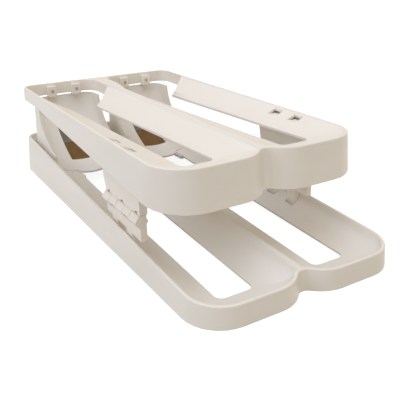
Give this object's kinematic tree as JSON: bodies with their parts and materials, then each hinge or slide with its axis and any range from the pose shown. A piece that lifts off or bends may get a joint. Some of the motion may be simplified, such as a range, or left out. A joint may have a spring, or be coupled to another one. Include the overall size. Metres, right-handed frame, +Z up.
{
  "type": "rolling egg dispenser",
  "caption": "Two-tier egg dispenser: a sloping upper tray feeds eggs through rear chutes onto a sloping lower tray, each tray split into lanes with open floors.",
  "frame": {"origin": "middle of the footprint, on the surface that the dispenser stands on", "axes": "+X across the lanes, +Y to the rear where the chutes are, +Z up"},
  "size_m": [0.1642, 0.352, 0.085],
  "materials": {
    "tray_plastic": "satin warm cream moulded plastic",
    "chute_plastic": "satin warm cream moulded plastic",
    "bracket_plastic": "satin warm cream moulded plastic",
    "pad": "dull brown soft pad"
  },
  "bodies": {
    "root": {"upper_tray": "tray_plastic", "lower_tray": "tray_plastic", "chute_left": "chute_plastic", "chute_right": "chute_plastic", "landing_pad_left": "pad", "landing_pad_right": "pad", "upper_bracket_left": "bracket_plastic", "upper_bracket_right": "bracket_plastic", "lower_bracket_left": "bracket_plastic", "lower_bracket_right": "bracket_plastic"}
  },
  "joints": []
}
